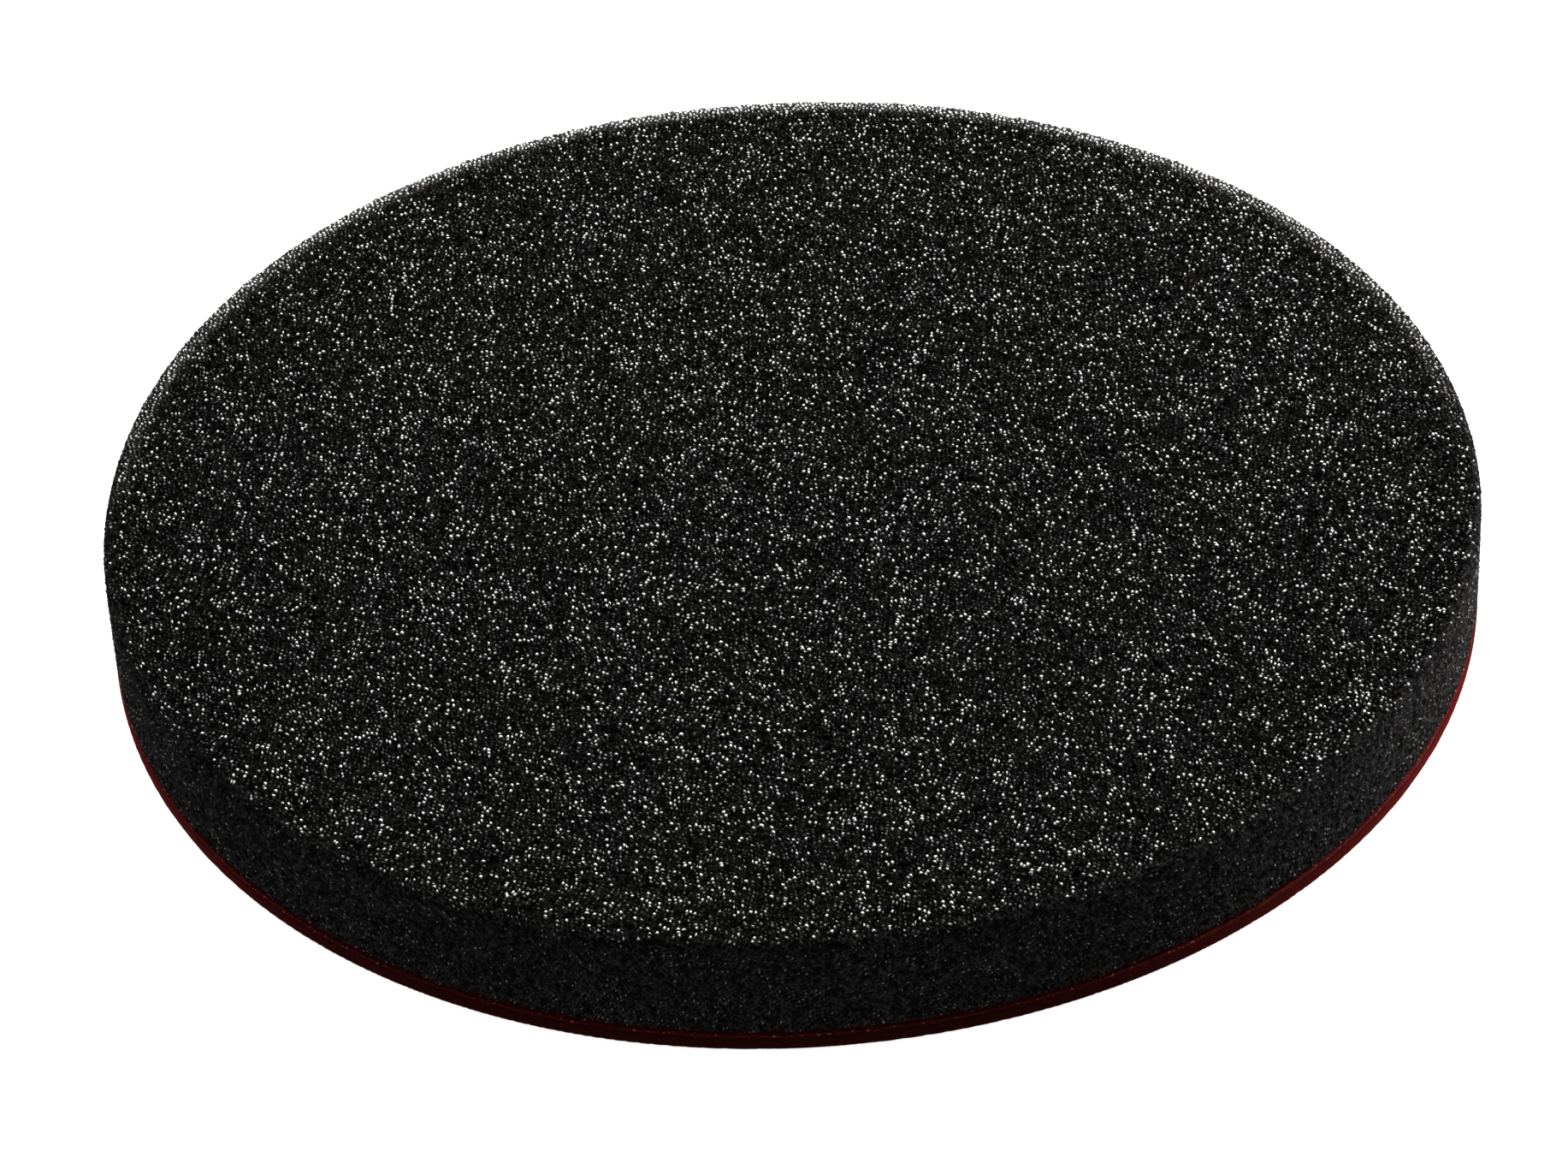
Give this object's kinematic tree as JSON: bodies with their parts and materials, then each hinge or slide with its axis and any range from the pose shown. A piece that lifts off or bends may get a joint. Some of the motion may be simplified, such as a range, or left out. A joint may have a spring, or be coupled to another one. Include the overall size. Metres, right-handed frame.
{
  "type": "polishing pad",
  "caption": "Flat round foam polishing pad with a black fine-pored foam face and a red hook-and-loop backing.",
  "frame": {"origin": "centre of the loop face on the underside, where a backing plate meets the pad", "axes": "+Z along the pad's axis, from the loop face to the working face; X and Y are interchangeable"},
  "size_m": [0.16, 0.16, 0.015],
  "materials": {
    "polyurethane_foam": "black open-cell polyurethane foam, fine pores, matte with small glints on the cell struts",
    "hot_melt_film": "dark hot-melt adhesive film",
    "knitted_nylon": "red warp-knitted nylon ground fabric, matte",
    "nylon_loops": "dark red brushed nylon loop pile, matte velour"
  },
  "bodies": {
    "root": {"foam_disc": "polyurethane_foam", "adhesive_film": "hot_melt_film", "loop_ground": "knitted_nylon", "loop_pile": "nylon_loops"}
  },
  "joints": []
}
